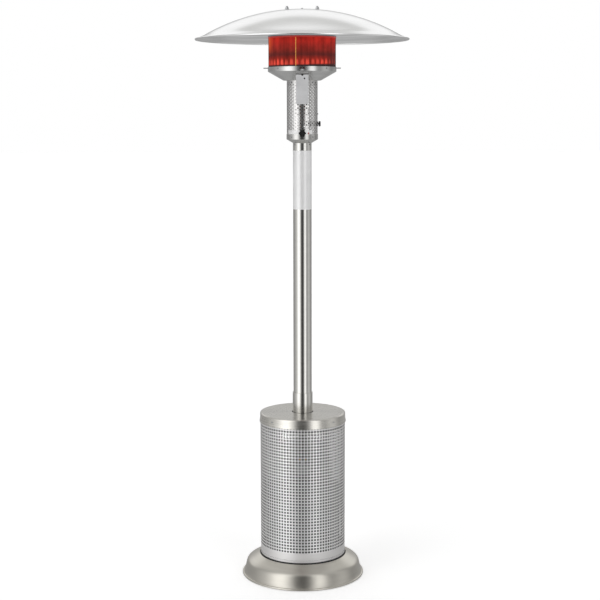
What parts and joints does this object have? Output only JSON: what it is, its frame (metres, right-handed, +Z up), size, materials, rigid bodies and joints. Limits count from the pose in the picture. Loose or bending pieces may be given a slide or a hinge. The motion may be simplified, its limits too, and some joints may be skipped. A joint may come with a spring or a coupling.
{
  "type": "patio heater",
  "caption": "Free-standing gas patio heater: wide dished reflector over a round emitter, control housing, tall post, and a perforated lift-up cover round its gas cylinder.",
  "frame": {"origin": "on the floor under the feet, on the axis of the post", "axes": "+Z up along the post; -Y to the front, where the control knob is; +X to the right seen from the front, where the igniter button is"},
  "size_m": [0.8636, 0.8636, 2.3517],
  "materials": {
    "cover_steel": "satin rolled stainless, punched in the visual",
    "spun_steel": "turned stainless",
    "post_steel": "lengthwise brushed stainless",
    "housing_steel": "satin stainless, punched in the visual",
    "reflector_aluminium": "bright satin",
    "emitter_steel": "hot red, dull",
    "black_paint": "satin black",
    "cylinder_paint": "semi-gloss grey",
    "cast_iron": "rough cast",
    "fastener": "bright zinc",
    "dark_steel": "heat-tinted",
    "die_cast": "matte die cast",
    "brass": "satin",
    "copper_lead": "satin",
    "black_plastic": "fine grain",
    "lead_sleeve": "smooth",
    "rubber": "matte"
  },
  "bodies": {
    "heater": {"air_shutter": "dark_steel", "ballast_bolts": "fastener", "ballast_ring": "cast_iron", "base_pan": "black_paint", "base_skirt": "spun_steel", "burner_bowl": "spun_steel", "burner_head": "cast_iron", "burner_pipe": "die_cast", "control_housing": "housing_steel", "cylinder_collar": "cylinder_paint", "cylinder_ring": "black_paint", "cylinder_valve": "brass", "emitter_cap": "housing_steel", "emitter_screen": "emitter_steel", "gas_cylinder": "cylinder_paint", "gas_hose": "rubber", "gas_valve": "die_cast", "hose_ferrules": "fastener", "hose_grommet": "rubber", "housing_cup": "spun_steel", "housing_screws": "fastener", "igniter_body": "black_plastic", "igniter_lead": "lead_sleeve", "leg_bolts": "fastener", "leg_left": "black_paint", "leg_rear": "black_paint", "leg_right": "black_paint", "mixing_tube": "dark_steel", "orifice": "brass", "panel_nuts": "fastener", "pilot_bracket": "housing_steel", "pilot_burner": "dark_steel", "pilot_cover": "housing_steel", "pilot_tube": "die_cast", "post": "post_steel", "post_sleeve": "post_steel", "reflector": "reflector_aluminium", "reflector_spacers": "fastener", "reflector_studs": "fastener", "regulator": "die_cast", "rim_pins": "fastener", "rim_screws": "fastener", "rubber_feet": "rubber", "sleeve_bolts": "fastener", "stud_nuts": "fastener", "stud_washers": "fastener", "thermocouple": "copper_lead", "tilt_switch": "black_plastic", "top_flange": "black_paint", "valve_shelf": "dark_steel"},
    "cover": {"cover_shell": "cover_steel", "cover_lid": "spun_steel", "lid_screws": "fastener"},
    "handwheel": {"valve_handwheel": "black_plastic"},
    "hand_nut": {"regulator_nut": "black_plastic"},
    "plunger": {"valve_plunger": "dark_steel"},
    "knob": {"valve_stem": "dark_steel", "control_knob": "black_plastic"},
    "igniter": {"igniter_button": "black_plastic"}
  },
  "joints": [
    {"name": "cover_lift", "type": "slide", "parent": "heater", "child": "cover", "axis": [0, 0, 1], "range_m": [0, 0.6]},
    {"name": "handwheel_turn", "type": "hinge", "parent": "heater", "child": "handwheel", "pos_m": [0, 0, 0.5135], "axis": [0, 0, 1], "range_deg": [0, 540]},
    {"name": "hand_nut_turn", "type": "hinge", "parent": "heater", "child": "hand_nut", "pos_m": [0, -0.0385, 0.47], "axis": [0, -1, 0], "continuous": true},
    {"name": "knob_push", "type": "slide", "parent": "heater", "child": "plunger", "axis": [0, 1, 0], "range_m": [0, 0.004], "stiffness_N_per_m": 1500, "springref_m": -0.002},
    {"name": "knob_turn", "type": "hinge", "parent": "plunger", "child": "knob", "pos_m": [0, -0.08, 1.8478], "axis": [0, -1, 0], "range_deg": [0, 180]},
    {"name": "igniter_push", "type": "slide", "parent": "heater", "child": "igniter", "axis": [-1, 0, 0], "range_m": [0, 0.004], "stiffness_N_per_m": 1200, "springref_m": -0.002}
  ]
}
